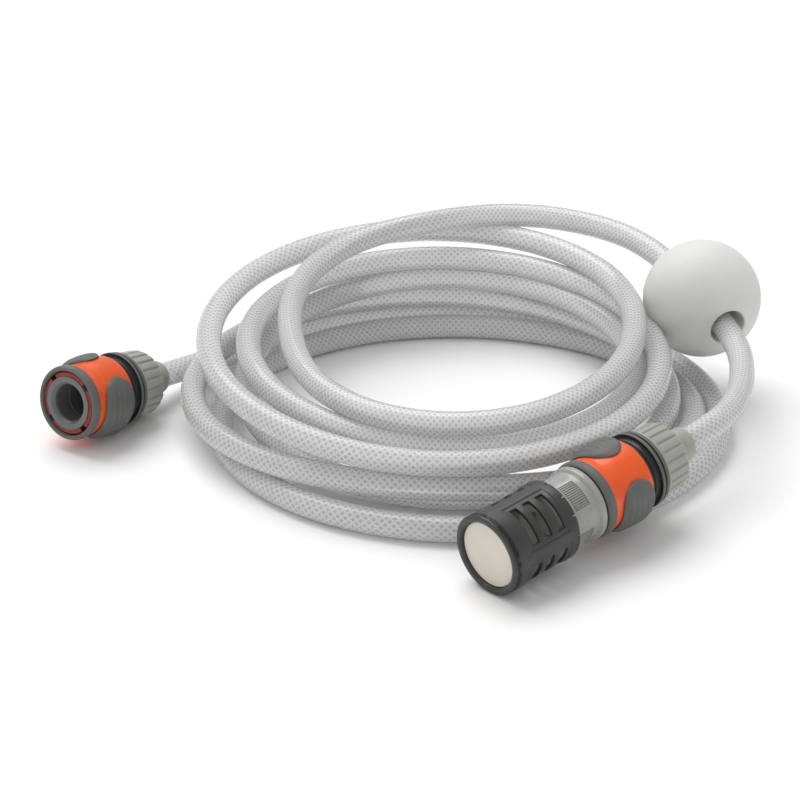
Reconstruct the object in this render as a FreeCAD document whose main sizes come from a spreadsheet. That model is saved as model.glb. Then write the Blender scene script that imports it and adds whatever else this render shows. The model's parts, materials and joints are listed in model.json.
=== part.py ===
# Floating suction hose set for emptying and refilling a pool: a coil of clear braided hose
# with a float ball on it, a quick-release coupling at each end, and a strainer with a foot
# valve plugged into the second coupling. Millimetres, +Z up, standing on z = 0.
import FreeCAD
import Part
import Sketcher
import math
import os
import re

doc = FreeCAD.newDocument("suction_hose_set")
sheet = doc.addObject("Spreadsheet::Sheet", "sizes")

SIZES = [
    # hose
    ("hose_dia", 12.0), ("hose_wall", 1.75),
    # clearances
    ("fit_gap", 0.07), ("free_gap", 0.35), ("face_gap", 0.3), ("cut_over", 1.0),
    # coupling, stations counted from the mouth towards the hose
    ("socket_radius", 8.9), ("socket_depth", 26.0), ("mouth_chamfer", 1.4), ("mouth_recess", 0.6),
    ("tube_wall", 4.0), ("claw_height", 2.35), ("claw_start", 1.2), ("claw_length", 6.8),
    ("claw_root", 2.0), ("claw_slot_angle", 14.0),
    ("ring_length", 4.5), ("ring_radius", 18.0), ("sleeve_length", 28.0), ("sleeve_radius", 17.8),
    ("sleeve_wall", 1.5), ("sleeve_travel", 5.0), ("waist_depth", 0.8), ("waist_front", 2.0),
    ("waist_back", 1.0), ("web_thick", 1.5),
    ("grip_start", 9.5), ("grip_length", 17.0), ("grip_height", 0.8), ("grip_angle", 112.0),
    ("rib_angle", 88.0),
    ("drum_start", 24.0), ("flange_radius", 18.0), ("flange_thick", 4.5), ("edge_break", 0.6),
    ("drum_groove", 0.8), ("waterway_radius", 3.0), ("tail_length", 20.0), ("stub_radius", 12.2),
    ("stub_wall", 1.9), ("stub_length", 9.0), ("stub_web", 2.0), ("spring_wire", 1.2),
    ("nut_radius", 16.5), ("nut_length", 15.5), ("nut_groove", 1.0), ("nut_groove_angle", 9.0),
    ("nut_groove_start", 1.5), ("nut_relief", 1.2),
    ("collar_length", 12.0), ("collar_wall", 1.65), ("collet_wall", 3.25), ("collet_taper", 1.6),
    ("collet_length", 8.5), ("collet_root", 2.0), ("collet_slit_angle", 12.0),
    # strainer, stations counted from its front face towards the hose
    ("cage_radius", 18.55), ("cage_wall", 1.65), ("cage_length", 38.0), ("slot_start", 12.0),
    ("slot_width", 4.0), ("slot_pitch", 7.5), ("slot_angle", 62.0), ("disc_radius", 15.15),
    ("disc_recess", 1.5), ("disc_thick", 2.0), ("disc_ledge", 1.0), ("mesh_thick", 0.3),
    ("housing_radius", 15.75),
    ("housing_length", 18.5), ("spigot_length", 7.0), ("rim_radius", 17.2), ("rim_thick", 3.0),
    ("rim_slope", 1.0),
    ("nipple_length", 24.0), ("nipple_bore", 5.5), ("chamber_radius", 11.5), ("chamber_length", 19.0),
    ("seat_thick", 3.0), ("seat_hole", 7.0), ("seal_groove", 1.63), ("seal_place", 19.0),
    ("catch_groove", 1.2), ("catch_place", 6.0), ("catch_width", 3.0), ("poppet_radius", 9.5),
    ("poppet_thick", 2.0), ("poppet_lift", 3.0), ("poppet_stem", 2.0), ("washer_thick", 1.1),
    ("washer_lap", 1.0), ("wing_length", 24.0), ("wing_root", 1.0), ("wing_angle", 16.0),
    ("valve_wire", 0.9), ("window_depth", 1.0), ("window_angle", 50.0), ("window_length", 10.0),
    ("window_start", 2.0),
    # float ball
    ("ball_dia", 58.0), ("ball_play", 2.8), ("ball_travel", 10.0),
    # places: mouth of the outlet coupling, front of the strainer, centre of the ball
    ("outlet_x", -160.5), ("outlet_y", 25.0), ("outlet_z", 24.15),
    ("outlet_heading", 54.1), ("outlet_tilt", -8.7), ("outlet_roll", 113.0),
    ("inlet_x", 32.6), ("inlet_y", -114.6), ("inlet_z", 18.5),
    ("inlet_heading", 41.7), ("inlet_tilt", 6.3), ("inlet_roll", 128.0),
    ("cage_roll", 40.0), ("window_roll", 35.0),
    ("ball_x", 145.5), ("ball_y", 99.1), ("ball_z", 47.0),
    ("ball_heading", -67.5), ("ball_tilt", -10.5),
    # straight run of hose out of each coupling
    ("outlet_run", 26.0), ("inlet_run", 24.0),
    # coil of hose: a low wide ring and a higher one that leans back
    ("low_x", 22.5), ("low_y", 49.5), ("low_half_x", 133.0), ("low_half_y", 120.0), ("low_top", 28.0),
    ("high_x", 9.5), ("high_y", 74.5), ("high_half_x", 117.0), ("high_half_y", 124.0),
    ("high_top", 51.0), ("hole_x", 16.5), ("hole_y", 52.5), ("hole_half_x", 70.0),
    ("hole_half_y", 75.0), ("coil_clear", 3.0),
]

for row, (alias, value) in enumerate(SIZES, start=1):
    sheet.set("A%d" % row, alias)
    sheet.set("B%d" % row, str(value))
    sheet.setAlias("B%d" % row, alias)
doc.recompute()

ALIASES = {alias for alias, value in SIZES}


# ---- expressions ---------------------------------------------------------------------------
def bound(expression):
    """An expression over the sheet's aliases, as the document's objects write it."""
    return re.sub(r"[a-z]\w*", lambda m: "sizes." + m[0] if m[0] in ALIASES else m[0], expression)


def value_of(expression):
    """The number that such an expression has now."""
    return float(sheet.evalExpression(bound(expression)))


def derived(**expressions):
    """Adds sizes that follow from others, each as a cell of its own."""
    for alias, expression in expressions.items():
        cell = len(ALIASES) + 1
        sheet.set("A%d" % cell, alias)
        sheet.set("B%d" % cell, "=" + expression)
        sheet.setAlias("B%d" % cell, alias)
        ALIASES.add(alias)
    doc.recompute()


derived(
    hose_radius="hose_dia / 2",
    tail_radius="hose_dia / 2 - hose_wall",
    tube_radius="socket_radius + tube_wall",
    claw_radius="socket_radius + tube_wall + claw_height",
    sleeve_bore="sleeve_radius - sleeve_wall",
)
derived(
    lip_bore="claw_radius + free_gap",
    web_bore="tube_radius + free_gap",
    web_start="claw_start + claw_length + face_gap",
    drum_radius="sleeve_bore - free_gap",
    flange_start="sleeve_length + sleeve_travel + face_gap",
    grip_radius="sleeve_radius + grip_height",
    bore_round_hose="hose_radius + free_gap",
)
derived(
    flange_end="flange_start + flange_thick",
    web_end="web_start + web_thick",
    stub_bore="stub_radius - stub_wall",
    nut_thread="stub_radius + free_gap",
    collar_radius="bore_round_hose + collar_wall",
    collet_radius="bore_round_hose + collet_wall",
)
derived(
    stub_end="flange_end + stub_length",
    nut_start="flange_end + face_gap",
    hose_stop="flange_end + stub_web + face_gap",
    spring_start="web_end + sleeve_travel + face_gap",
)
derived(
    nut_end="nut_start + nut_length",
    nut_shelf="stub_end + nut_relief",
    collet_start="nut_start + nut_length - collet_length - 2 * face_gap",
    collet_small="collet_radius - collet_taper",
)
derived(
    collar_end="nut_end + collar_length",
    collet_end="collet_start + collet_length",
    cage_bore="cage_radius - cage_wall",
    spigot_radius="cage_radius - cage_wall - free_gap",
    spigot_start="cage_length - spigot_length",
    housing_end="cage_length + housing_length",
    ledge_end="disc_recess + disc_thick + cage_wall",
    nipple_radius="socket_radius - fit_gap",
    poppet_start="cage_length - spigot_length + seat_thick + washer_thick + face_gap / 3",
)
derived(
    mouth_place="housing_end + 2 * face_gap",
    chamber_end="spigot_start + chamber_length",
    poppet_end="poppet_start + poppet_thick",
    valve_spring_start="poppet_start + poppet_thick + poppet_lift + face_gap",
    ball_radius="ball_dia / 2",
    ball_bore="hose_radius + ball_play",
)


# ---- shapes --------------------------------------------------------------------------------
def finish(item, label, place=None):
    """Names a finished sub-part and puts it where it sits."""
    item.Label = label
    if place is not None:
        item.Placement = place
    PARTS.append(item)
    return item


def revolved(name, profile):
    """A body turned round its own Z from (radius, station) corners given as expressions."""
    body = doc.addObject("PartDesign::Body", name + "_body")
    plane = [item for item in body.Origin.OriginFeatures if item.Role == "XZ_Plane"][0]
    sketch = body.newObject("Sketcher::SketchObject", name + "_profile")
    sketch.AttachmentSupport = [(plane, "")]
    sketch.MapMode = "FlatFace"
    corners = [FreeCAD.Vector(value_of(across), value_of(along), 0) for across, along in profile]
    count = len(corners)
    for i in range(count):
        sketch.addGeometry(Part.LineSegment(corners[i], corners[(i + 1) % count]))
    for i, (across, along) in enumerate(profile):
        sketch.addConstraint(Sketcher.Constraint("Coincident", i, 2, (i + 1) % count, 1))
        for kind, expression, number in (
            ("DistanceX", across, corners[i].x),
            ("DistanceY", along, corners[i].y),
        ):
            if abs(number) < 1e-9:
                axis = -2 if kind == "DistanceX" else -1
                sketch.addConstraint(Sketcher.Constraint("PointOnObject", i, 1, axis))
                continue
            index = sketch.addConstraint(Sketcher.Constraint(kind, -1, 1, i, 1, number))
            sketch.setExpression("Constraints[%d]" % index, bound(expression))
    turn = body.newObject("PartDesign::Revolution", name + "_turn")
    turn.Profile = sketch
    turn.ReferenceAxis = (sketch, ["V_Axis"])
    turn.Angle = 360
    body.Tip = turn
    return body


def cylinder(name, radius, low, high, angle="360", turn=0.0):
    """A cylinder, or a wedge of one, between two stations, turned about the axis."""
    item = doc.addObject("Part::Cylinder", name)
    item.setExpression("Radius", bound(radius))
    item.setExpression("Height", bound("(%s) - (%s)" % (high, low)))
    item.setExpression("Angle", bound(angle))
    item.Placement.Rotation = FreeCAD.Rotation(FreeCAD.Vector(0, 0, 1), turn)
    item.setExpression("Placement.Base.z", bound(low))
    return item


def cut(name, base, tool):
    item = doc.addObject("Part::Cut", name)
    item.Base = base
    item.Tool = tool
    return item


def joined(name, items):
    item = doc.addObject("Part::MultiFuse", name)
    item.Shapes = items
    return item


def sectors(name, inner, outer, low, high, width, count, first=0.0):
    """Equal ring sectors spread round the axis, the first one centred on the angle first."""
    half = value_of(width) / 2
    wedges = []
    for i in range(count):
        turn = first + 360.0 * i / count - half
        wedges.append(cylinder("%s_wedge_%d" % (name, i), outer, low, high, width, turn))
    group = joined(name + "_wedges", wedges) if count > 1 else wedges[0]
    core = cylinder(name + "_core", inner, low + " - cut_over", high + " + cut_over")
    return cut(name, group, core)


def coil_spring(name, mean_radius, wire, low, high, turns):
    """A round-wire compression spring, drawn at its pressed length."""
    path = doc.addObject("Part::Helix", name + "_path")
    path.setExpression("Radius", bound(mean_radius))
    path.setExpression("Height", bound("%s - %s - %s" % (high, low, wire)))
    path.setExpression("Pitch", bound("(%s - %s - %s) / %d" % (high, low, wire, turns)))
    path.setExpression("Placement.Base.z", bound("%s + %s / 2" % (low, wire)))
    path.SegmentLength = 1
    section = doc.addObject("Part::Circle", name + "_section")
    section.setExpression("Radius", bound(wire + " / 2"))
    section.Placement.Rotation = FreeCAD.Rotation(FreeCAD.Vector(1, 0, 0), 90)
    section.setExpression("Placement.Base.x", bound(mean_radius))
    section.setExpression("Placement.Base.z", bound("%s + %s / 2" % (low, wire)))
    doc.recompute()
    sweep = doc.addObject("Part::Sweep", name + "_sweep")
    sweep.Sections = [section]
    sweep.Spine = (path, ["Edge%d" % (i + 1) for i in range(len(path.Shape.Edges))])
    sweep.Solid = True
    sweep.Frenet = True
    return sweep


def leaned(x, y, z, heading, tilt):
    """A placement whose own Z points along a heading in plan and a tilt above the floor."""
    spin = FreeCAD.Rotation(FreeCAD.Vector(0, 0, 1), value_of(heading))
    lean = FreeCAD.Rotation(FreeCAD.Vector(0, 1, 0), 90 - value_of(tilt))
    base = FreeCAD.Vector(value_of(x), value_of(y), value_of(z))
    return FreeCAD.Placement(base, spin * lean)


def along_axis(station):
    """A placement shifted along its own Z."""
    return FreeCAD.Placement(FreeCAD.Vector(0, 0, value_of(station)), FreeCAD.Rotation())


def axis_point(place, station):
    """Where a station on a placed axis lies."""
    return place.multVec(FreeCAD.Vector(0, 0, value_of(station)))


PARTS = []


# ---- quick-release coupling ----------------------------------------------------------------
def socket_body(prefix, place):
    """Mouth tube, drum, disc flange, threaded stub and the tail that the hose is pushed over."""
    body = revolved(prefix + "_socket", [
        ("socket_radius + mouth_chamfer", "mouth_recess"),
        ("tube_radius", "mouth_recess"),
        ("tube_radius", "drum_start"),
        ("drum_radius", "drum_start"),
        ("drum_radius", "sleeve_length + 2 * face_gap"),
        ("drum_radius - drum_groove", "sleeve_length + 3 * face_gap"),
        ("drum_radius - drum_groove", "flange_start - 2 * face_gap"),
        ("drum_radius", "flange_start - face_gap"),
        ("drum_radius", "flange_start"),
        ("flange_radius - edge_break", "flange_start"),
        ("flange_radius", "flange_start + edge_break"),
        ("flange_radius", "flange_end - edge_break"),
        ("flange_radius - edge_break", "flange_end"),
        ("stub_radius", "flange_end"),
        ("stub_radius", "stub_end"),
        ("stub_bore", "stub_end"),
        ("stub_bore", "flange_end + stub_web"),
        ("tail_radius", "flange_end + stub_web"),
        ("tail_radius", "flange_end + stub_web + tail_length"),
        ("waterway_radius", "flange_end + stub_web + tail_length"),
        ("waterway_radius", "socket_depth"),
        ("socket_radius", "socket_depth"),
        ("socket_radius", "mouth_recess + mouth_chamfer"),
    ])
    finish(body, prefix + "_socket_body", place)


def latch_ring(prefix, place):
    """Four red claws round the mouth tube, side by side with slots between."""
    ring = revolved(prefix + "_claws", [
        ("tube_radius", "claw_start"),
        ("claw_radius - edge_break", "claw_start"),
        ("claw_radius", "claw_start + edge_break"),
        ("claw_radius", "claw_start + claw_length"),
        ("tube_radius", "claw_start + claw_length"),
    ])
    slots = sectors(prefix + "_claw_slots", "tube_radius - cut_over", "claw_radius + cut_over",
                    "claw_start - cut_over", "claw_start + claw_length - claw_root",
                    "claw_slot_angle", 4, 45.0)
    finish(cut(prefix + "_claws_cut", ring, slots), prefix + "_latch_ring", place)


def release_sleeve(prefix, place):
    """The shell that is pulled towards the hose, with an inner web that the spring bears on."""
    shell = revolved(prefix + "_sleeve", [
        ("lip_bore", "ring_length"),
        ("sleeve_radius", "ring_length"),
        ("sleeve_radius - waist_depth", "ring_length + waist_front"),
        ("sleeve_radius - waist_depth", "grip_start - waist_back"),
        ("sleeve_radius", "grip_start"),
        ("sleeve_radius", "sleeve_length - edge_break"),
        ("sleeve_radius - edge_break", "sleeve_length"),
        ("sleeve_bore", "sleeve_length"),
        ("sleeve_bore", "web_end"),
        ("web_bore", "web_end"),
        ("web_bore", "web_start"),
        ("lip_bore", "web_start"),
    ])
    finish(shell, prefix + "_release_sleeve", place)
    ring = revolved(prefix + "_ring", [
        ("lip_bore", "edge_break"),
        ("lip_bore + edge_break", "0"),
        ("ring_radius - 2 * edge_break", "0"),
        ("ring_radius", "2 * edge_break"),
        ("ring_radius", "ring_length"),
        ("lip_bore", "ring_length"),
    ])
    finish(ring, prefix + "_front_ring", place)


def sleeve_grips(prefix, place):
    """Two soft pads on opposite sides of the sleeve, each with raised ribs across it."""
    ribs = 4
    pads = [sectors(prefix + "_pads", "sleeve_radius", "grip_radius", "grip_start",
                    "grip_start + grip_length", "grip_angle", 2, value_of(prefix + "_roll"))]
    for i in range(ribs):
        low = "grip_start + grip_length * %d / %d" % (2 * i + 1, 2 * ribs + 1)
        high = "grip_start + grip_length * %d / %d" % (2 * i + 2, 2 * ribs + 1)
        pads.append(sectors("%s_rib_%d" % (prefix, i), "sleeve_radius", "grip_radius + edge_break",
                            low, high, "rib_angle", 2, value_of(prefix + "_roll")))
    finish(joined(prefix + "_grip_group", pads), prefix + "_sleeve_grips", place)


def sleeve_spring(prefix, place):
    spring = coil_spring(prefix + "_spring", "(tube_radius + sleeve_bore) / 2", "spring_wire",
                         "spring_start", "drum_start", 3)
    finish(spring, prefix + "_sleeve_spring", place)


def hose_collet(prefix, place):
    """Slotted jaws that the nut presses on the hose."""
    jaws = revolved(prefix + "_collet", [
        ("bore_round_hose", "collet_start"),
        ("collet_radius", "collet_start"),
        ("collet_radius", "collet_start + collet_length / 3"),
        ("collet_small", "collet_end"),
        ("bore_round_hose", "collet_end"),
    ])
    slits = sectors(prefix + "_slits", "bore_round_hose - cut_over", "collet_radius + cut_over",
                    "collet_start + collet_root", "collet_end + cut_over", "collet_slit_angle", 6)
    finish(cut(prefix + "_collet_cut", jaws, slits), prefix + "_hose_collet", place)


def clamp_nut(prefix, place):
    """Ribbed nut with a smooth collar that the hose runs out through."""
    blank = revolved(prefix + "_nut", [
        ("nut_thread", "nut_start"),
        ("nut_radius", "nut_start"),
        ("nut_radius", "nut_end - 3 * edge_break"),
        ("nut_radius - 3 * edge_break", "nut_end"),
        ("collar_radius", "nut_end"),
        ("collar_radius", "collar_end - edge_break"),
        ("collar_radius - edge_break", "collar_end"),
        ("bore_round_hose", "collar_end"),
        ("bore_round_hose", "collet_end + face_gap"),
        ("collet_small + free_gap", "collet_end + face_gap"),
        ("collet_radius + free_gap", "collet_start + collet_length / 3 + face_gap"),
        ("collet_radius + free_gap", "nut_shelf"),
        ("nut_thread", "nut_shelf"),
    ])
    grooves = sectors(prefix + "_grooves", "nut_radius - nut_groove", "nut_radius + cut_over",
                      "nut_start + nut_groove_start", "nut_end + cut_over", "nut_groove_angle", 12)
    finish(cut(prefix + "_nut_cut", blank, grooves), prefix + "_clamp_nut", place)


def hose_end(prefix, place):
    """The last stretch of the hose, pushed over the tail."""
    stub = revolved(prefix + "_hose", [
        ("tail_radius", "hose_stop"),
        ("hose_radius", "hose_stop"),
        ("hose_radius", "collar_end"),
        ("tail_radius", "collar_end"),
    ])
    finish(stub, prefix + "_hose_end", place)


def coupling(prefix, place):
    socket_body(prefix, place)
    latch_ring(prefix, place)
    release_sleeve(prefix, place)
    sleeve_grips(prefix, place)
    sleeve_spring(prefix, place)
    hose_collet(prefix, place)
    clamp_nut(prefix, place)
    hose_end(prefix, place)


# ---- strainer with foot valve --------------------------------------------------------------
def valve_housing(place):
    """Grey housing: spigot for the cage, valve chamber, rim and the nipple that plugs in."""
    blank = revolved("housing", [
        ("chamber_radius", "spigot_start"),
        ("spigot_radius", "spigot_start"),
        ("spigot_radius", "cage_length + face_gap"),
        ("housing_radius", "cage_length + face_gap"),
        ("housing_radius", "housing_end - rim_thick - rim_slope"),
        ("rim_radius", "housing_end - rim_thick"),
        ("rim_radius", "housing_end - edge_break"),
        ("rim_radius - edge_break", "housing_end"),
        ("nipple_radius", "housing_end"),
        ("nipple_radius", "mouth_place + catch_place"),
        ("nipple_radius - catch_groove", "mouth_place + catch_place + catch_groove"),
        ("nipple_radius - catch_groove", "mouth_place + catch_place + catch_width"),
        ("nipple_radius", "mouth_place + catch_place + catch_width"),
        ("nipple_radius", "mouth_place + seal_place - seal_groove / 2"),
        ("nipple_radius - seal_groove", "mouth_place + seal_place - seal_groove / 2"),
        ("nipple_radius - seal_groove", "mouth_place + seal_place + seal_groove / 2"),
        ("nipple_radius", "mouth_place + seal_place + seal_groove / 2"),
        ("nipple_radius", "mouth_place + nipple_length - edge_break"),
        ("nipple_radius - edge_break", "mouth_place + nipple_length"),
        ("nipple_bore", "mouth_place + nipple_length"),
        ("nipple_bore", "chamber_end"),
        ("chamber_radius", "chamber_end"),
    ])
    windows = sectors("housing_windows", "housing_radius - window_depth",
                      "housing_radius + cut_over", "cage_length + window_start",
                      "cage_length + window_start + window_length", "window_angle", 4,
                      value_of("window_roll"))
    finish(cut("housing_cut", blank, windows), "valve_housing", place)
    seal = doc.addObject("Part::Torus", "nipple_ring")
    seal.setExpression("Radius1", bound("nipple_radius - seal_groove / 2"))
    seal.setExpression("Radius2", bound("seal_groove / 2"))
    finish(seal, "nipple_seal", place * along_axis("mouth_place + seal_place"))
    seat = revolved("seat", [
        ("seat_hole", "spigot_start"),
        ("chamber_radius", "spigot_start"),
        ("chamber_radius", "spigot_start + seat_thick"),
        ("seat_hole", "spigot_start + seat_thick"),
    ])
    finish(seat, "valve_seat", place)


def foot_valve(place):
    """The poppet that lets water in and holds it there, its washer and its spring."""
    head = revolved("poppet", [
        ("0", "poppet_start"),
        ("poppet_radius", "poppet_start"),
        ("poppet_radius", "poppet_end"),
        ("poppet_stem", "poppet_end"),
        ("poppet_stem", "poppet_end + wing_length"),
        ("0", "poppet_end + wing_length"),
    ])
    wings = sectors("poppet_wings", "wing_root", "nipple_bore - free_gap", "poppet_end",
                    "poppet_end + wing_length", "wing_angle", 4)
    finish(joined("poppet_group", [head, wings]), "valve_poppet", place)
    washer = revolved("washer", [
        ("seat_hole - washer_lap", "poppet_start - washer_thick"),
        ("poppet_radius - edge_break", "poppet_start - washer_thick"),
        ("poppet_radius - edge_break", "poppet_start"),
        ("seat_hole - washer_lap", "poppet_start"),
    ])
    finish(washer, "valve_washer", place)
    spring = coil_spring("valve_coil", "(nipple_bore + poppet_radius) / 2", "valve_wire",
                         "valve_spring_start", "chamber_end", 5)
    finish(spring, "valve_spring", place)


def strainer_cage(place):
    """Black slotted cage, the pale disc in its front, and the fine mesh inside."""
    shell = revolved("cage", [
        ("disc_radius", "edge_break"),
        ("disc_radius + edge_break", "0"),
        ("cage_radius - edge_break", "0"),
        ("cage_radius", "edge_break"),
        ("cage_radius", "cage_length"),
        ("cage_bore", "cage_length"),
        ("cage_bore", "ledge_end"),
        ("disc_radius - disc_ledge", "ledge_end"),
        ("disc_radius - disc_ledge", "disc_recess + disc_thick"),
        ("disc_radius", "disc_recess + disc_thick"),
    ])
    for i in range(3):
        low = "slot_start + slot_pitch * %d" % i
        slots = sectors("cage_slots_%d" % i, "cage_bore - cut_over", "cage_radius + cut_over", low,
                        low + " + slot_width", "slot_angle", 4, value_of("cage_roll"))
        shell = cut("cage_cut_%d" % i, shell, slots)
    finish(shell, "strainer_cage", place)
    disc = revolved("disc", [
        ("0", "disc_recess"),
        ("disc_radius - edge_break", "disc_recess"),
        ("disc_radius", "disc_recess + edge_break"),
        ("disc_radius", "disc_recess + disc_thick"),
        ("0", "disc_recess + disc_thick"),
    ])
    finish(disc, "end_disc", place)
    mesh = revolved("mesh", [
        ("cage_bore - free_gap - mesh_thick", "ledge_end + face_gap"),
        ("cage_bore - free_gap", "ledge_end + face_gap"),
        ("cage_bore - free_gap", "spigot_start - face_gap"),
        ("cage_bore - free_gap - mesh_thick", "spigot_start - face_gap"),
    ])
    finish(mesh, "filter_mesh", place)


# ---- float ball ----------------------------------------------------------------------------
def float_ball(place):
    ball = doc.addObject("Part::Sphere", "ball")
    ball.setExpression("Radius", bound("ball_radius"))
    bore = cylinder("ball_hole", "ball_bore", "-ball_dia", "ball_dia")
    finish(cut("ball_cut", ball, bore), "float_ball", place)


# ---- hose ----------------------------------------------------------------------------------
def route_edges(points, label):
    """Straight runs joined by tangent arcs, each arc as large as its two runs allow."""
    edges = []
    start = points[0]
    for i in range(1, len(points) - 1):
        before, here, after = points[i - 1], points[i], points[i + 1]
        back = before - here
        ahead = after - here
        shorter = min(back.Length, ahead.Length)
        turn = math.pi - back.getAngle(ahead)
        reach = 0.45 * shorter
        radius = reach / math.tan(turn / 2)
        print("%s corner %d: radius %.1f, turn %.1f" % (label, i, radius, math.degrees(turn)))
        back.normalize()
        ahead.normalize()
        first = here + back * reach
        last = here + ahead * reach
        inward = back + ahead
        inward.normalize()
        middle = here + inward * (radius / math.cos(turn / 2) - radius)
        edges.append(Part.LineSegment(start, first).toShape())
        edges.append(Part.Arc(first, middle, last).toShape())
        start = last
    edges.append(Part.LineSegment(start, points[-1]).toShape())
    return edges


def hose_tube(label, points):
    """A free stretch of the hose along its route."""
    path = Part.Wire(route_edges(points, label))
    radius = value_of("hose_radius")
    across = points[1] - points[0]
    section = Part.Wire(Part.Circle(points[0], across, radius).toShape())
    tube = path.makePipeShell([section], True, False)
    expected = math.pi * radius ** 2 * path.Length
    print("%s: length %.1f, volume %.1f, section x length %.1f"
          % (label, path.Length, tube.Volume, expected))
    item = doc.addObject("Part::Feature", label + "_tube")
    item.Shape = tube
    finish(item, label)


def ellipse_post(name, centre, halves, low, high):
    """An upright post whose section is an ellipse of the given half sizes."""
    ellipse = doc.addObject("Part::Ellipse", name + "_outline")
    along_x = value_of(halves[0]) >= value_of(halves[1])
    major, minor = halves if along_x else (halves[1], halves[0])
    ellipse.setExpression("MajorRadius", bound(major))
    ellipse.setExpression("MinorRadius", bound(minor))
    ellipse.Placement.Rotation = FreeCAD.Rotation(FreeCAD.Vector(0, 0, 1), 0 if along_x else 90)
    ellipse.setExpression("Placement.Base.x", bound(centre[0]))
    ellipse.setExpression("Placement.Base.y", bound(centre[1]))
    ellipse.setExpression("Placement.Base.z", bound(low))
    post = doc.addObject("Part::Extrusion", name)
    post.Base = ellipse
    post.DirMode = "Custom"
    post.Dir = FreeCAD.Vector(0, 0, 1)
    post.setExpression("LengthFwd", bound("(%s) - (%s)" % (high, low)))
    post.Solid = True
    return post


def room(name, radius, low, high, place):
    """A cylinder of room that the coil keeps round a piece placed beside or on it."""
    item = doc.addObject("Part::Cylinder", name)
    item.setExpression("Radius", bound(radius))
    item.setExpression("Height", bound("(%s) - (%s)" % (high, low)))
    item.Placement = place * along_axis(low)
    return item


def hose_coil(strainer_place, ball_place):
    """The outer shape of the wound hose, with room left for the ball and the inlet coupling."""
    low = ellipse_post("coil_low", ("low_x", "low_y"), ("low_half_x", "low_half_y"), "0", "low_top")
    high = ellipse_post("coil_high", ("high_x", "high_y"), ("high_half_x", "high_half_y"),
                      "low_top - hose_radius", "high_top")
    hole = ellipse_post("coil_hole", ("hole_x", "hole_y"), ("hole_half_x", "hole_half_y"),
                      "-hose_dia", "high_top + hose_dia")
    ball_reach = "ball_radius + ball_travel + coil_clear"
    rooms = [
        hole,
        room("ball_room", "ball_radius + coil_clear", "-(%s)" % ball_reach, ball_reach, ball_place),
        room("coupling_room", "flange_radius + coil_clear", "0",
             "mouth_place + collar_end + 2 * hose_dia", strainer_place),
    ]
    coil = cut("coil_cut", joined("coil_stack", [low, high]), joined("coil_rooms", rooms))
    finish(coil, "hose_coil")


outlet_place = leaned("outlet_x", "outlet_y", "outlet_z", "outlet_heading", "outlet_tilt")
strainer_place = leaned("inlet_x", "inlet_y", "inlet_z", "inlet_heading", "inlet_tilt")
inlet_place = strainer_place * along_axis("mouth_place")
ball_place = leaned("ball_x", "ball_y", "ball_z", "ball_heading", "ball_tilt")

coupling("outlet", outlet_place)
coupling("inlet", inlet_place)
valve_housing(strainer_place)
foot_valve(strainer_place)
strainer_cage(strainer_place)
float_ball(ball_place)
hose_coil(strainer_place, ball_place)

hose_tube("hose_lead_outlet", [
    axis_point(outlet_place, "collar_end"),
    axis_point(outlet_place, "collar_end + outlet_run"),
    FreeCAD.Vector(-87.5, 124, 7),
    FreeCAD.Vector(-60, 139, 6),
])
hose_tube("hose_lead_inlet", [
    axis_point(inlet_place, "collar_end"),
    axis_point(inlet_place, "collar_end + inlet_run"),
    FreeCAD.Vector(153.5, 8, 36),
    FreeCAD.Vector(158.8, 35.5, 37.5),
    FreeCAD.Vector(158.5, 63.1, 39.8),
    FreeCAD.Vector(145.3, 98.9, 47.2),
    FreeCAD.Vector(129.1, 136.3, 54.6),
    FreeCAD.Vector(110.5, 161.5, 57.5),
    FreeCAD.Vector(84.5, 177.5, 58.5),
    FreeCAD.Vector(56.5, 187, 57.5),
    FreeCAD.Vector(28, 190.5, 54),
])

doc.recompute()

# ---- tests and export ----------------------------------------------------------------------
for item in doc.Objects:
    if "Invalid" in item.State or "Error" in item.State:
        raise RuntimeError("%s could not be made: %s" % (item.Name, item.State))

os.makedirs("parts", exist_ok=True)
for item in PARTS:
    if item.Shape.isNull() or not item.Shape.isValid():
        raise RuntimeError(item.Label + " has no valid shape")
    item.Shape.exportStep("parts/%s.step" % item.Label)
    print("%-22s %d solid(s), %.1f mm3" % (item.Label, len(item.Shape.Solids), item.Shape.Volume))
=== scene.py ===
# %% [markdown]
# # A floating suction hose set
# This set draws water out of a pool. A coil of clear hose carries a float ball, a quick-release
# coupling sits on each end, and a strainer with a foot valve is plugged into the second one. The
# imported model gives the place and axis of every turned part. First it is loaded.

# %% The frame
import bpy
import json
import math
from mathutils import Matrix, Vector


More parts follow.
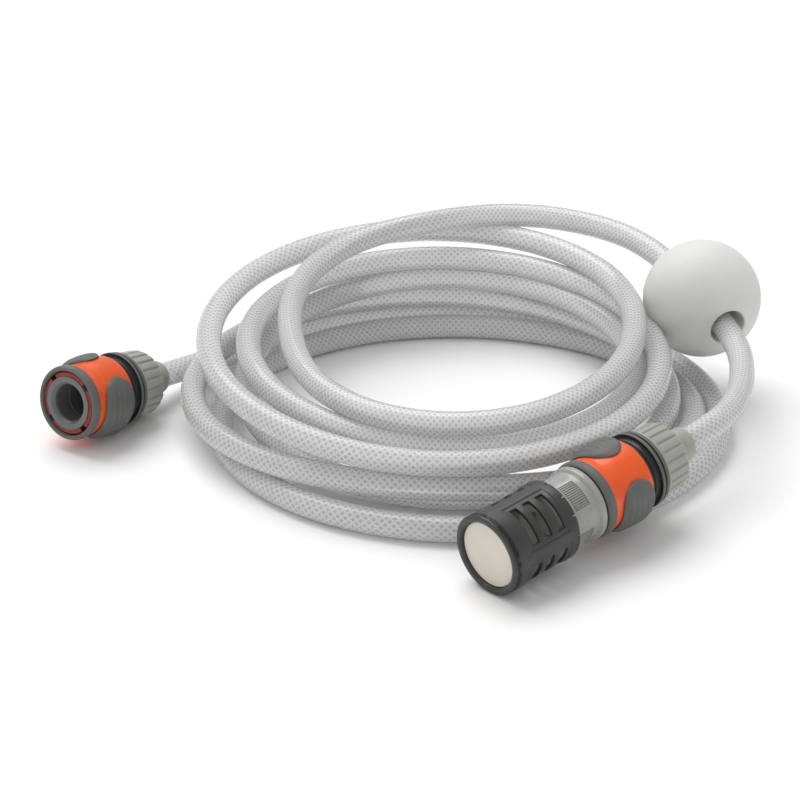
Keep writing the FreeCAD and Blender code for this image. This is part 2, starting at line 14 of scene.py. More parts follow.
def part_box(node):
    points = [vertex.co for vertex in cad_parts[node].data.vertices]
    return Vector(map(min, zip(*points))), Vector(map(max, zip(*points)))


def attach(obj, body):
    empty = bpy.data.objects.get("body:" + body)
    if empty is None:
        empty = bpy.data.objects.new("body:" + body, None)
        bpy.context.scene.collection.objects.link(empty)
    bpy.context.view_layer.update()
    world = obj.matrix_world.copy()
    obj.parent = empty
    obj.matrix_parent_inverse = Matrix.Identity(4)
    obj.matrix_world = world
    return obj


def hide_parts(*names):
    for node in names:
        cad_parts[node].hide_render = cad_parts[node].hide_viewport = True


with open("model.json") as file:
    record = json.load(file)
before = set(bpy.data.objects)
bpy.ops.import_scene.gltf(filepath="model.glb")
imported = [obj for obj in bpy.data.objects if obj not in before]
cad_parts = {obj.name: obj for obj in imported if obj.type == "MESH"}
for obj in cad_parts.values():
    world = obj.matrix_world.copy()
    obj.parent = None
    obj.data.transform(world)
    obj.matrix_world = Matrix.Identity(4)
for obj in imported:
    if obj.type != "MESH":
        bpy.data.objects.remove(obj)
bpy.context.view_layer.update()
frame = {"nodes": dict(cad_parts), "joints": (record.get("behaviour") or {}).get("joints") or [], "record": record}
MM = 0.001

# %% [markdown]
# The couplings and the strainer are turned parts, each round an axis of its own. An axis is known
# from the joint that slides along it, and a station on it is counted in millimetres from the
# coupling's mouth. The matrix below stands a piece, modelled upright round Z, on such an axis.

# %% The axes of the turned parts
ENDS = ("outlet", "inlet")
joints = {joint["name"]: joint for joint in frame["joints"]}
NUT_STATION = 46.0
MOUTH_STATION = 57.1


def standing(point, axis):
    """Stands a piece modelled in millimetres round Z on an axis of the model."""
    heading = math.atan2(axis.y, axis.x)
    lean = math.pi / 2 - math.asin(axis.z)
    turn = Matrix.Rotation(heading, 4, "Z") @ Matrix.Rotation(lean, 4, "Y")
    return Matrix.Translation(point) @ turn @ Matrix.Scale(MM, 4)


def mouth_of(prefix):
    """The centre of a coupling's mouth, and the axis from it towards the hose."""
    turn = joints[prefix + "_nut_turn"]
    axis = Vector(turn["axis"]).normalized()
    return Vector(turn["pos_m"]) - axis * NUT_STATION * MM, axis


PLACES = {prefix: standing(*mouth_of(prefix)) for prefix in ENDS}
inlet_mouth, inlet_axis = mouth_of("inlet")
strainer_front = inlet_mouth - inlet_axis * MOUTH_STATION * MM
PLACES["strainer"] = standing(strainer_front, inlet_axis)
ball_low, ball_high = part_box("float_ball")
ball_centre = (ball_low + ball_high) / 2
ball_axis = Vector(joints["ball_slide"]["axis"]).normalized()
PLACES["ball"] = standing(ball_centre, ball_axis)
print("strainer front at", [round(c, 4) for c in strainer_front])

# %% [markdown]
# The camera looks down at 25 degrees with a long lens, so that the coil keeps its shape. The light
# is a studio's: a wide soft sun overhead and behind, which lights all of the floor alike and leaves
# the near side of round things darker, two weak lamps that put a gloss on the hose, and a pale
# floor that throws light back up.

# %% Camera, floor and light
AIM = Vector((-0.0035, 0.0465, 0.016))
DISTANCE = 1.2
RISE = math.radians(25)
LENS = 112.5
SENSOR_WIDTH = 36
FLOOR_SIZE = 12
WORLD_STRENGTH = 0.6
bpy.ops.object.camera_add(
    location=AIM + Vector((0, -math.cos(RISE), math.sin(RISE))) * DISTANCE,
    rotation=(math.pi / 2 - RISE, 0, 0),
)
camera = bpy.context.object
camera.data.lens = LENS
camera.data.sensor_width = SENSOR_WIDTH
bpy.context.scene.camera = camera
bpy.context.scene.view_settings.view_transform = "Standard"


def plain_surface(name, colour, roughness):
    """A material of one colour for what isn't part of the object."""
    material = bpy.data.materials.new(name)
    material.use_nodes = True
    shader = material.node_tree.nodes["Principled BSDF"]
    shader.inputs["Base Color"].default_value = (*colour, 1)
    shader.inputs["Roughness"].default_value = roughness
    return material


bpy.ops.mesh.primitive_plane_add(size=FLOOR_SIZE, location=(0, 0, 0))
floor = bpy.context.object
floor.name = "floor"
floor.data.materials.append(plain_surface("floor_paper", (0.93, 0.93, 0.93), 0.9))


def lamp(kind, name, place, power, size):
    """A lamp that shines at the middle of the object, a sun's size being its angle in degrees."""
    bpy.ops.object.light_add(type=kind, location=place)
    light = bpy.context.object
    light.name = name
    light.data.energy = power
    if kind == "SUN":
        light.data.angle = math.radians(size)
    else:
        light.data.size = size
    light.rotation_euler = (Vector(place) - AIM).to_track_quat("Z", "Y").to_euler()


lamp("SUN", "sun_over", (-0.35, 0.75, 1.4), 1.95, 50)
lamp("AREA", "lamp_side", (-1.1, -0.3, 0.9), 1.2, 0.5)
lamp("AREA", "lamp_front", (0.5, -1.2, 1.3), 1.0, 0.5)
world = bpy.data.worlds.new("studio")
bpy.context.scene.world = world
world.use_nodes = True
world.node_tree.nodes["Background"].inputs["Color"].default_value = (1, 1, 1, 1)
world.node_tree.nodes["Background"].inputs["Strength"].default_value = WORLD_STRENGTH
print("camera at", [round(c, 3) for c in camera.location])

# %% [markdown]
# ## Finishes
# Injection-moulded plastic is never quite even. It has a fine spark-eroded grain, a faint
# unevenness in its colour, and a sheen that changes where it has been handled. One node group
# makes all three, and each plastic places it with its own scale and depth.

# %% A node group for moulded plastic
def new_group(name, inputs, outputs):
    """An empty shader group with named sockets."""
    group = bpy.data.node_groups.new(name, "ShaderNodeTree")
    for label, kind, value in inputs:
        socket = group.interface.new_socket(label, in_out="INPUT", socket_type=kind)
        if value is not None:
            socket.default_value = value
    for label, kind in outputs:
        group.interface.new_socket(label, in_out="OUTPUT", socket_type=kind)
    return group, group.nodes.new("NodeGroupInput"), group.nodes.new("NodeGroupOutput")


FLOAT, COLOUR, VECTOR = "NodeSocketFloat", "NodeSocketColor", "NodeSocketVector"
MASK_RANGE = (0.3, 0.7)
CLOUD_SCALE = 60.0
SHEEN_SCALE = 140.0
SHEEN_SWING = 0.12
GRAIN_HEIGHT = 0.0002


def noise(tree, where, scale, detail=3.0):
    """A noise texture on the object's own coordinates."""
    node = tree.nodes.new("ShaderNodeTexNoise")
    node.inputs["Detail"].default_value = detail
    tree.links.new(where, node.inputs["Vector"])
    if isinstance(scale, (int, float)):
        node.inputs["Scale"].default_value = scale
    else:
        tree.links.new(scale, node.inputs["Scale"])
    return node.outputs["Fac"]


def spread(tree, value, low, high):
    """Maps a mask from its middle range to another range."""
    node = tree.nodes.new("ShaderNodeMapRange")
    node.inputs["From Min"].default_value = MASK_RANGE[0]
    node.inputs["From Max"].default_value = MASK_RANGE[1]
    node.inputs["To Min"].default_value = low
    node.inputs["To Max"].default_value = high
    tree.links.new(value, node.inputs["Value"])
    return node.outputs["Result"]


def maths(tree, operation, *values):
    """A maths node whose inputs are numbers or other nodes' outputs."""
    node = tree.nodes.new("ShaderNodeMath")
    node.operation = operation
    for i, value in enumerate(values):
        if isinstance(value, (int, float)):
            node.inputs[i].default_value = value
        else:
            tree.links.new(value, node.inputs[i])
    return node.outputs[0]


def moulding_group():
    """Grain, unevenness and handling sheen of moulded plastic."""
    group, given, made = new_group(
        "moulded_surface",
        [("Color", COLOUR, (0.5, 0.5, 0.5, 1)), ("Roughness", FLOAT, 0.4),
         ("Grain Scale", FLOAT, 1800.0), ("Grain Depth", FLOAT, 0.1), ("Unevenness", FLOAT, 0.1)],
        [("Color", COLOUR), ("Roughness", FLOAT), ("Normal", VECTOR)],
    )
    where = group.nodes.new("ShaderNodeTexCoord").outputs["Object"]
    cloud = spread(group, noise(group, where, CLOUD_SCALE), -1.0, 1.0)
    grain = noise(group, where, given.outputs["Grain Scale"], 2.0)
    shade = group.nodes.new("ShaderNodeHueSaturation")
    lift = maths(group, "MULTIPLY_ADD", cloud, given.outputs["Unevenness"], 1.0)
    group.links.new(lift, shade.inputs["Value"])
    group.links.new(given.outputs["Color"], shade.inputs["Color"])
    handling = spread(group, noise(group, where, SHEEN_SCALE), -SHEEN_SWING, SHEEN_SWING)
    sheen = maths(group, "ADD", handling, given.outputs["Roughness"])
    bump = group.nodes.new("ShaderNodeBump")
    bump.inputs["Distance"].default_value = GRAIN_HEIGHT
    group.links.new(given.outputs["Grain Depth"], bump.inputs["Strength"])
    group.links.new(grain, bump.inputs["Height"])
    group.links.new(shade.outputs["Color"], made.inputs["Color"])
    group.links.new(sheen, made.inputs["Roughness"])
    group.links.new(bump.outputs["Normal"], made.inputs["Normal"])
    return group


MOULDING = moulding_group()
print("group sockets:", [item.name for item in MOULDING.interface.items_tree])

# %% [markdown]
# Each plastic of the set is one call: its colour, its sheen, and how coarse its grain is. The soft
# parts are a rubbery plastic, dull and grainy. The housing is the glossiest of the hard ones.

# %% The plastics and metals
def moulded(name, colour, roughness, grain=0.12, scale=1800.0, uneven=0.08, **sockets):
    """A plastic or metal finish with the moulding group in front of its shader."""
    material = bpy.data.materials.new(name)
    material.use_nodes = True
    tree = material.node_tree
    shader = tree.nodes["Principled BSDF"]
    surface = tree.nodes.new("ShaderNodeGroup")
    surface.node_tree = MOULDING
    surface.inputs["Color"].default_value = (*colour, 1)
    surface.inputs["Roughness"].default_value = roughness
    surface.inputs["Grain Scale"].default_value = scale
    surface.inputs["Grain Depth"].default_value = grain
    surface.inputs["Unevenness"].default_value = uneven
    tree.links.new(surface.outputs["Color"], shader.inputs["Base Color"])
    tree.links.new(surface.outputs["Roughness"], shader.inputs["Roughness"])
    tree.links.new(surface.outputs["Normal"], shader.inputs["Normal"])
    for label, value in sockets.items():
        shader.inputs[label.replace("_", " ")].default_value = value
    return material


FINISH = {
    "sleeve_orange": moulded("orange_shell", (0.80, 0.095, 0.008), 0.34),
    "soft_grey": moulded("soft_grip", (0.115, 0.118, 0.112), 0.62, grain=0.3, scale=2400.0),
    "socket_grey": moulded("socket_tube", (0.13, 0.135, 0.13), 0.38),
    "body_black": moulded("body_black", (0.018, 0.018, 0.018), 0.4),
    "nut_grey": moulded("nut_grey", (0.34, 0.345, 0.31), 0.45, grain=0.16),
    "claw_red": moulded("claw_red", (0.24, 0.014, 0.009), 0.4),
    "housing_grey": moulded("housing_grey", (0.32, 0.325, 0.31), 0.24, grain=0.06),
    "cage_charcoal": moulded("cage_charcoal", (0.032, 0.034, 0.031), 0.42, grain=0.14),
    "disc_pale": moulded("disc_pale", (0.68, 0.63, 0.55), 0.38, grain=0.08, uneven=0.04),
    "ball_white": moulded("ball_skin", (0.70, 0.70, 0.68), 0.62, grain=0.3, scale=900.0,
                          uneven=0.02),
    "valve_white": moulded("valve_white", (0.7, 0.7, 0.68), 0.35),
    "spring_steel": moulded("spring_steel", (0.6, 0.6, 0.6), 0.25, Metallic=1.0),
    "mesh_steel": moulded("mesh_steel", (0.45, 0.45, 0.44), 0.35, Metallic=1.0),
}
print(len(FINISH), "finishes")

# %% [markdown]
# ## Tools of the bench
# Nearly every part is turned, so the first tool is a lathe. An outline is a ring of points, made
# from a circle with as many corners as the outline has, which are then moved to their places. The
# spin carries it round the axis, and doubles are merged where the last step meets the first. An
# open outline is a ring with one corner to spare, which is deleted.

# %% A lathe
MERGE_WITHIN = 0.001


def only(piece):
    """Selects one object and nothing else."""
    bpy.ops.object.select_all(action="DESELECT")
    piece.select_set(True)
    bpy.context.view_layer.objects.active = piece


def edit_all(piece):
    """Opens a piece in edit mode with everything selected."""
    only(piece)
    bpy.ops.object.mode_set(mode="EDIT")
    bpy.ops.mesh.select_all(action="SELECT")


def lathe(name, outline, steps=96, closed=True):
    """Turns an outline of (radius, station) points, in millimetres, round Z."""
    bpy.ops.object.select_all(action="DESELECT")
    spare = 0 if closed else 1
    bpy.ops.mesh.primitive_circle_add(vertices=len(outline) + spare, radius=1)
    piece = bpy.context.object
    piece.name = name
    piece.data.name = name
    for vertex, (radius, station) in zip(piece.data.vertices, outline):
        vertex.co = (radius, 0, station)
    if not closed:
        edit_all(piece)
        bpy.ops.mesh.select_all(action="DESELECT")
        bpy.ops.object.mode_set(mode="OBJECT")
        piece.data.vertices[len(outline)].select = True
        bpy.ops.object.mode_set(mode="EDIT")
        bpy.ops.mesh.delete(type="VERT")
        bpy.ops.object.mode_set(mode="OBJECT")
    edit_all(piece)
    bpy.ops.mesh.spin(steps=steps, angle=2 * math.pi, center=(0, 0, 0), axis=(0, 0, 1))
    bpy.ops.mesh.select_all(action="SELECT")
    bpy.ops.mesh.remove_doubles(threshold=MERGE_WITHIN)
    bpy.ops.mesh.dissolve_degenerate(threshold=MERGE_WITHIN)
    bpy.ops.mesh.normals_make_consistent(inside=False)
    bpy.ops.object.mode_set(mode="OBJECT")
    return piece

# %% [markdown]
# Moulded edges are never sharp, and a bevel gives each the small radius that catches the light.
# It runs before a piece is placed, while its sizes are still millimetres. Placing writes the
# position into the mesh, so that the object itself stays at the origin.


def modifier(piece, kind, **settings):
    """Adds a modifier and applies it at once."""
    only(piece)
    added = piece.modifiers.new(kind.lower(), kind)
    for label, value in settings.items():
        setattr(added, label, value)
    bpy.ops.object.modifier_apply(modifier=added.name)


def bevelled(piece, width=0.3, segments=3, angle=28):
    """Rounds a piece's edges that turn by more than an angle in degrees."""
    modifier(piece, "BEVEL", width=width, segments=segments, limit_method="ANGLE",
             angle_limit=math.radians(angle), harden_normals=False)
    return piece


def handed_over(piece, place, body, finish, nodes, smooth=38):
    """Places a finished piece, gives it its finish, hangs it on its body and hides the model's nodes that it
    replaces.
    """
    piece.matrix_world = place
    only(piece)
    bpy.ops.object.transform_apply(location=True, rotation=True, scale=True)
    bpy.ops.object.shade_smooth_by_angle(angle=math.radians(smooth))
    if not piece.data.materials:
        piece.data.materials.append(FINISH[finish])
    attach(piece, body)
    if nodes:
        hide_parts(*nodes)
    print("%s: %d faces on %s" % (piece.name, len(piece.data.polygons), body))
    return piece


def polar(point):
    """Radius, angle in degrees from 0 to 360, and station of a point round Z."""
    return math.hypot(point.x, point.y), math.degrees(math.atan2(point.y, point.x)) % 360, point.z


def apart(angle, centre):
    """How far an angle is from another, in degrees, the short way round."""
    return (angle - centre + 180) % 360 - 180


def select_faces(piece, wanted):
    """Opens a piece in edit mode with the faces selected whose middles pass a test."""
    only(piece)
    bpy.ops.object.mode_set(mode="EDIT")
    bpy.ops.mesh.select_mode(type="FACE")
    bpy.ops.mesh.select_all(action="DESELECT")
    bpy.ops.object.mode_set(mode="OBJECT")
    for face in piece.data.polygons:
        face.select = wanted(*polar(face.center))
    count = sum(face.select for face in piece.data.polygons)
    bpy.ops.object.mode_set(mode="EDIT")
    return count


def end_edit():
    """Leaves edit mode, back to selecting by points."""
    bpy.ops.mesh.select_mode(type="VERT")
    bpy.ops.object.mode_set(mode="OBJECT")

# %% [markdown]
# ## The couplings
# The release sleeve is an orange shell, waisted behind its front so that fingers find it. It is
# turned from one outline. The lip inside its front clears the claws, and the rest of it runs over
# the drum. The soft ring in front of it is moulded on as a bumper.

# %% Release sleeves and front rings
ROLL = {"outlet": 113.0, "inlet": 128.0}
SLEEVE = [
    (15.6, 4.5), (17.75, 4.5), (17.55, 5.6), (17.2, 7.2), (17.1, 9.0), (17.3, 11.0), (17.7, 13.5),
    (18.0, 17.0), (18.1, 21.0), (18.1, 25.0), (17.95, 26.6), (17.5, 27.7), (16.9, 28.0),
    (16.3, 28.0), (16.3, 9.8), (13.25, 9.8), (13.25, 8.3), (15.6, 8.3),
]
FRONT_RING = [
    (15.6, 4.5), (15.6, 0.9), (15.95, 0.2), (16.6, 0.0), (17.2, 0.15), (17.75, 0.8), (18.0, 1.8),
    (18.0, 3.0), (17.85, 4.5),
]
for prefix in ENDS:
    shell = bevelled(lathe(prefix + "_sleeve_shell", SLEEVE, 128), 0.2, 2, 50)
    handed_over(shell, PLACES[prefix], prefix + "_sleeve", "sleeve_orange",
                [prefix + "_release_sleeve"])
    ring = bevelled(lathe(prefix + "_bumper_ring", FRONT_RING, 128), 0.15, 2, 50)
    handed_over(ring, PLACES[prefix], prefix + "_sleeve", "soft_grey", [prefix + "_front_ring"])

# %% [markdown]
# The two grip pads are soft plastic let into opposite sides of the sleeve. A pad starts as a flat
# grid, its square corners are drawn in to a rounded outline, and the grid is then wrapped round
# the sleeve. Its height is a formula: a crowned middle, an edge that dips into the shell, and
# shallow curved grooves across it that fade out towards the ends.

# %% Grip pads
PAD_HALF_ANGLE = 66.0
PAD_MIDDLE = 18.0
PAD_HALF_LENGTH = 8.6
PAD_CELLS = 64
PAD_WALL = 1.3
SIDE_TAPER = 0.12
END_ROUNDING = 0.74
CROWN, EDGE_DIP, FIELD_RISE = 0.6, 0.35, 0.5
GROOVE_PITCH, GROOVE_DEPTH, GROOVE_SAG = 3.1, 0.7, 1.6


def sleeve_radius(station):
    """The sleeve's outside radius at a station, between its outline's points."""
    outside = SLEEVE[1:13]
    for (r0, s0), (r1, s1) in zip(outside, outside[1:]):
        if s0 <= station <= s1:
            return r0 + (r1 - r0) * (station - s0) / (s1 - s0)
    return outside[-1][0]


def pad_height(across, along):
    """How far a pad stands off the sleeve, for places from -1 to 1 both ways."""
    edge = max(abs(across), abs(along))
    crown = CROWN * (1 - edge ** 7) - EDGE_DIP * edge ** 12
    bend = along * PAD_HALF_LENGTH + GROOVE_SAG * across ** 2
    rib = 1 - math.cos(math.pi * bend / GROOVE_PITCH) ** 8
    fade = max(0.0, 1 - (abs(across) / 0.8) ** 4) * max(0.0, 1 - (abs(along) / 0.86) ** 8)
    return crown + GROOVE_DEPTH * (rib - 1) * fade + FIELD_RISE * fade


def turned_outward(sheet):
    """Flips an open sheet whose faces look towards the axis."""
    face = sheet.data.polygons[0]
    if face.normal.dot(Vector((face.center.x, face.center.y, 0))) < 0:
        sheet.data.flip_normals()


def joined(piece, other):
    """Joins a second piece's mesh to the first one's."""
    only(piece)
    other.select_set(True)
    bpy.ops.object.join()


def grip_pads(prefix):
    """Both pads of one sleeve as a single piece."""
    pads = []
    for side in range(2):
        bpy.ops.object.select_all(action="DESELECT")
        bpy.ops.mesh.primitive_grid_add(x_subdivisions=PAD_CELLS, y_subdivisions=PAD_CELLS, size=2)
        pad = bpy.context.object
        for vertex in pad.data.vertices:
            across, along = vertex.co.x, vertex.co.y
            round_across = across * (1 - SIDE_TAPER * along ** 2)
            round_along = along * math.sqrt(1 - END_ROUNDING * across ** 4)
            station = PAD_MIDDLE + PAD_HALF_LENGTH * round_along
            radius = sleeve_radius(station) + pad_height(across, along)
            angle = math.radians(ROLL[prefix] + 180 * side + PAD_HALF_ANGLE * round_across)
            vertex.co = (radius * math.cos(angle), radius * math.sin(angle), station)
        edit_all(pad)
        bpy.ops.mesh.normals_make_consistent(inside=False)
        bpy.ops.object.mode_set(mode="OBJECT")
        turned_outward(pad)
        modifier(pad, "SOLIDIFY", thickness=PAD_WALL, offset=-1)
        pads.append(pad)
    joined(*pads)
    pads[0].name = prefix + "_grip_pads"
    return pads[0]


for prefix in ENDS:
    handed_over(grip_pads(prefix), PLACES[prefix], prefix + "_sleeve", "soft_grey",
                [prefix + "_sleeve_grips"], smooth=60)

# %% [markdown]
# The socket body carries everything. Its mouth tube is dark grey and takes the plug, the drum that
# the sleeve slides over is black, and the flange behind it is two thin discs with a groove between.
# It is one turned piece, and its faces take one of three finishes by where they lie.

# %% Socket bodies
SOCKET = [
    (10.3, 0.6), (12.9, 0.6), (12.9, 24.0), (15.95, 24.0), (15.95, 29.0), (15.2, 29.3),
    (15.2, 30.6), (15.95, 30.9), (15.95, 33.3), (17.9, 33.3), (18.0, 34.9), (16.6, 35.1),
    (16.6, 35.9), (17.6, 36.1), (17.6, 37.8), (12.2, 37.8), (12.2, 46.8), (10.3, 46.8),
    (10.3, 39.8), (4.25, 39.8), (4.25, 59.8), (3.0, 59.8), (3.0, 26.0), (8.9, 26.0), (8.9, 12.0),
    (9.3, 11.5), (9.3, 5.0), (8.95, 4.4), (8.95, 2.2),
]
TUBE_RADIUS, TUBE_END = 13, 24
DISC_RADIUS, DISC_START = 17.2, 33
for prefix in ENDS:
    body = bevelled(lathe(prefix + "_socket", SOCKET, 128), 0.22, 3, 28)
    for finish in ("body_black", "socket_grey", "soft_grey"):
        body.data.materials.append(FINISH[finish])
    for face in body.data.polygons:
        radius, angle, station = polar(face.center)
        if station < TUBE_END and radius < TUBE_RADIUS:
            face.material_index = 1
        elif radius > DISC_RADIUS and station > DISC_START:
            face.material_index = 2
    handed_over(body, PLACES[prefix], "root", "body_black", [prefix + "_socket_body"])

# %% [markdown]
# The clamp nut is gripped by hand, so its skirt is cut into broad ribs. The lathe takes eight steps
# to a rib, and two neighbouring columns of points in eight are pushed in to make the groove. The
# smooth collar behind the skirt is where the hose runs out.

# %% Clamp nuts
RIBS = 22
STEPS_PER_RIB = 8
SKIRT_RADIUS, SKIRT_START, SKIRT_END = 13, 39.9, 53.5
RIB_HEIGHT = 0.75
NUT = [
    (12.55, 38.1), (16.1, 38.1), (16.5, 38.6), (16.5, 39.8), (16.45, 40.2), (16.2, 47.0),
    (15.9, 51.2), (15.2, 52.8), (13.9, 53.6), (8.9, 53.6), (8.35, 54.2), (8.1, 60.0), (8.0, 64.9),
    (7.5, 65.6), (6.45, 65.6), (6.45, 54.0), (8.4, 53.6), (9.9, 48.4), (12.55, 48.0),
]
for prefix in ENDS:
    nut = lathe(prefix + "_ribbed_nut", NUT, RIBS * STEPS_PER_RIB)
    for vertex in nut.data.vertices:
        radius, angle, station = polar(vertex.co)
        column = round(angle / (360 / (RIBS * STEPS_PER_RIB))) % STEPS_PER_RIB
        on_skirt = radius > SKIRT_RADIUS and SKIRT_START < station < SKIRT_END
        if on_skirt and column in (0, STEPS_PER_RIB - 1):
            shrink = (radius - RIB_HEIGHT) / radius
            vertex.co.x *= shrink
            vertex.co.y *= shrink
    bevelled(nut, 0.16, 2, 24)
    handed_over(nut, PLACES[prefix], prefix + "_nut", "nut_grey", [prefix + "_clamp_nut"])

# %% [markdown]
# ## The strainer
# The cage keeps leaves out. Its wall starts as an open tube whose rows lie at the slots' edges.
# Four panels are pressed in a little, the faces in the slots are deleted, and the sheet is then
# given its thickness. The rim in front is turned on its own and joined on.

# %% Strainer cage
CAGE_RADIUS = 18.5
CAGE_COLUMNS = 144
CAGE_WALL = 1.6
CAGE_ROWS = [0.5, 1.3, 2.0, 9.6, 12.0, 16.0, 19.5, 23.5, 27.0, 31.0, 33.6, 36.4, 38.0]
CAGE_ROLL = 40.0
PANEL_START, PANEL_END, PANEL_HALF_ANGLE = 9.6, 33.6, 37.5
PANEL_FRAME, PANEL_DEPTH = 0.6, 0.45
SLOT_ROWS = ((12.0, 16.0), (19.5, 23.5), (27.0, 31.0))
SLOT_HALF_ANGLE = 31
NOTCH_START, NOTCH_EVERY = 36.4, 12
CAGE_RIM = [(15.25, 3.5), (15.25, 1.0), (15.6, 0.3), (16.2, 0.0), (17.7, 0.0), (18.3, 0.35),
            (18.5, 1.0), (18.5, 3.5), (17.0, 4.6), (14.2, 4.6), (14.2, 3.5)]


def to_panel(angle):
    """How far an angle is from the middle of the nearest of the cage's four panels."""
    return min(abs(apart(angle, CAGE_ROLL + 90 * i)) for i in range(4))


cage = lathe("cage_wall", [(CAGE_RADIUS, row) for row in CAGE_ROWS], CAGE_COLUMNS, closed=False)
turned_outward(cage)
select_faces(cage, lambda r, a, s: PANEL_START < s < PANEL_END and to_panel(a) < PANEL_HALF_ANGLE)
bpy.ops.mesh.inset(thickness=PANEL_FRAME, depth=-PANEL_DEPTH)
end_edit()
select_faces(cage, lambda r, a, s: any(low < s < high for low, high in SLOT_ROWS)
             and to_panel(a) < SLOT_HALF_ANGLE and r < CAGE_RADIUS - 0.2)
bpy.ops.mesh.delete(type="FACE")
end_edit()
select_faces(cage, lambda r, a, s: s > NOTCH_START
             and int(a / (360 / CAGE_COLUMNS)) % NOTCH_EVERY == 0)
bpy.ops.mesh.delete(type="FACE")
end_edit()
modifier(cage, "SOLIDIFY", thickness=CAGE_WALL, offset=-1)
joined(cage, lathe("cage_rim", CAGE_RIM, CAGE_COLUMNS))
bevelled(cage, 0.2, 2, 35)
cage.name = "cage_shell"
handed_over(cage, PLACES["strainer"], "cage", "cage_charcoal", ["strainer_cage"])

# %% [markdown]
# The disc in the cage's front is a plain pale plate, dished by a hair. The filter inside is woven
# wire: a fine tube of squares, and the wireframe modifier turns every edge into a strand.

# %% End disc and filter mesh
DISC = [(0, 1.75), (8, 1.7), (14.2, 1.5), (14.9, 1.65), (15.15, 2.1), (15.15, 3.4), (0, 3.4)]
disc = lathe("front_disc", DISC, 96)
handed_over(disc, PLACES["strainer"], "cage", "disc_pale", ["end_disc"])

WEAVE_RADIUS, WEAVE_START = 16.35, 5.4
WEAVE_ROWS, WEAVE_COLUMNS = 26, 108
STRAND = 0.26
rows = [(WEAVE_RADIUS, WEAVE_START + i) for i in range(WEAVE_ROWS)]
weave = lathe("filter_weave", rows, WEAVE_COLUMNS, closed=False)
modifier(weave, "WIREFRAME", thickness=STRAND, use_even_offset=False)
handed_over(weave, PLACES["strainer"], "cage", "mesh_steel", ["filter_mesh"])

# %% [markdown]
# The valve housing plugs into the coupling. Four windows are sunk into its waist, and in each a row
# of fine ridges gives the fingers hold. A window is inset twice, the second time pushed inwards,
# and every other column of its floor is drawn out again as a ridge.

# %% Valve housing
WINDOW_ROLL = 35.0
WINDOW_START, WINDOW_END, WINDOW_HALF_ANGLE = 40.6, 49.6, 25
WINDOW_DEPTH, RIDGE_HEIGHT = 0.95, 0.7
HOUSING_COLUMNS = 180
HOUSING = [
    (11.5, 31.0), (16.55, 31.0), (16.55, 38.3), (15.75, 38.3), (15.75, 40.6), (15.75, 49.6),
    (15.75, 51.6), (15.9, 52.4), (17.1, 53.3), (17.2, 53.8), (17.2, 55.9), (16.6, 56.5),
    (8.83, 56.5), (8.83, 63.1), (7.63, 64.3), (7.63, 66.1), (8.83, 66.1), (8.83, 75.3), (7.2, 75.3),
    (7.2, 76.9), (8.83, 76.9), (8.83, 80.5), (8.2, 81.1), (5.5, 81.1), (5.5, 50.0), (11.5, 50.0),
]


def to_window(angle):
    """How far an angle is from the middle of the nearest of the housing's four windows."""
    return min(abs(apart(angle, WINDOW_ROLL + 90 * i)) for i in range(4))


housing = lathe("housing_shell", HOUSING, HOUSING_COLUMNS)
select_faces(housing, lambda r, a, s: WINDOW_START < s < WINDOW_END and r > 15
             and to_window(a) < WINDOW_HALF_ANGLE)
bpy.ops.mesh.inset(thickness=0.2, depth=0)
bpy.ops.mesh.inset(thickness=0.12, depth=-WINDOW_DEPTH)
end_edit()
ridges = select_faces(housing, lambda r, a, s: WINDOW_START + 0.4 < s < WINDOW_END - 0.4
                      and 14.2 < r < 15.2 and to_window(a) < WINDOW_HALF_ANGLE - 1
                      and int(a / (360 / HOUSING_COLUMNS)) % 2 == 0)
bpy.ops.mesh.extrude_region_shrink_fatten(TRANSFORM_OT_shrink_fatten={"value": RIDGE_HEIGHT})
end_edit()
print(ridges, "ridge faces")
bevelled(housing, 0.14, 2, 30)
handed_over(housing, PLACES["strainer"], "strainer", "housing_grey", ["valve_housing"])

# %% [markdown]
# ## The float ball
# The ball is threaded on the hose and carries it at the surface. Its outline is an arc from one
# end of the bore to the other, with a small rounded lip at each, and the bore's wall closes it.

# %% Float ball
BALL_RADIUS = 29.0
BORE_RADIUS = 8.8
LIP = 1.0
LIP_STEP = 0.3
ARC_POINTS = 56
tip = math.asin((BORE_RADIUS + LIP) / BALL_RADIUS)
arc = [tip + (math.pi - 2 * tip) * i / (ARC_POINTS - 1) for i in range(ARC_POINTS)]
outline = [(BALL_RADIUS * math.sin(turn), BALL_RADIUS * math.cos(turn)) for turn in arc]
wall = BALL_RADIUS * math.cos(tip) - LIP_STEP
lip_low = [(BORE_RADIUS + LIP_STEP, -wall), (BORE_RADIUS, -wall + LIP)]
lip_high = [(BORE_RADIUS, wall - LIP), (BORE_RADIUS + LIP_STEP, wall)]
ball = lathe("ball_float", outline + lip_low + lip_high, 128)
handed_over(ball, PLACES["ball"], "ball", "ball_white", ["float_ball"])

# %% [markdown]
# ## The hose
# The hose is clear soft plastic with a braid of white yarn moulded into its wall. Its pattern
# follows the surface: one coordinate runs along the hose and one runs round it, and two families
# of spirals, one each way, cross as yarns. A yarn is brighter, and it stands a little proud.

# %% The hose's finish
HOSE_LENGTH = 4.52
HOSE_DIAMETER = 0.012
YARNS_ROUND = 11
YARN_PITCH = 0.0032
YARN_WIDTH = 0.36
YARN_HEIGHT = 0.0003
CLEAR_COLOUR = (0.66, 0.665, 0.66, 1)
YARN_COLOUR = (0.97, 0.97, 0.97, 1)


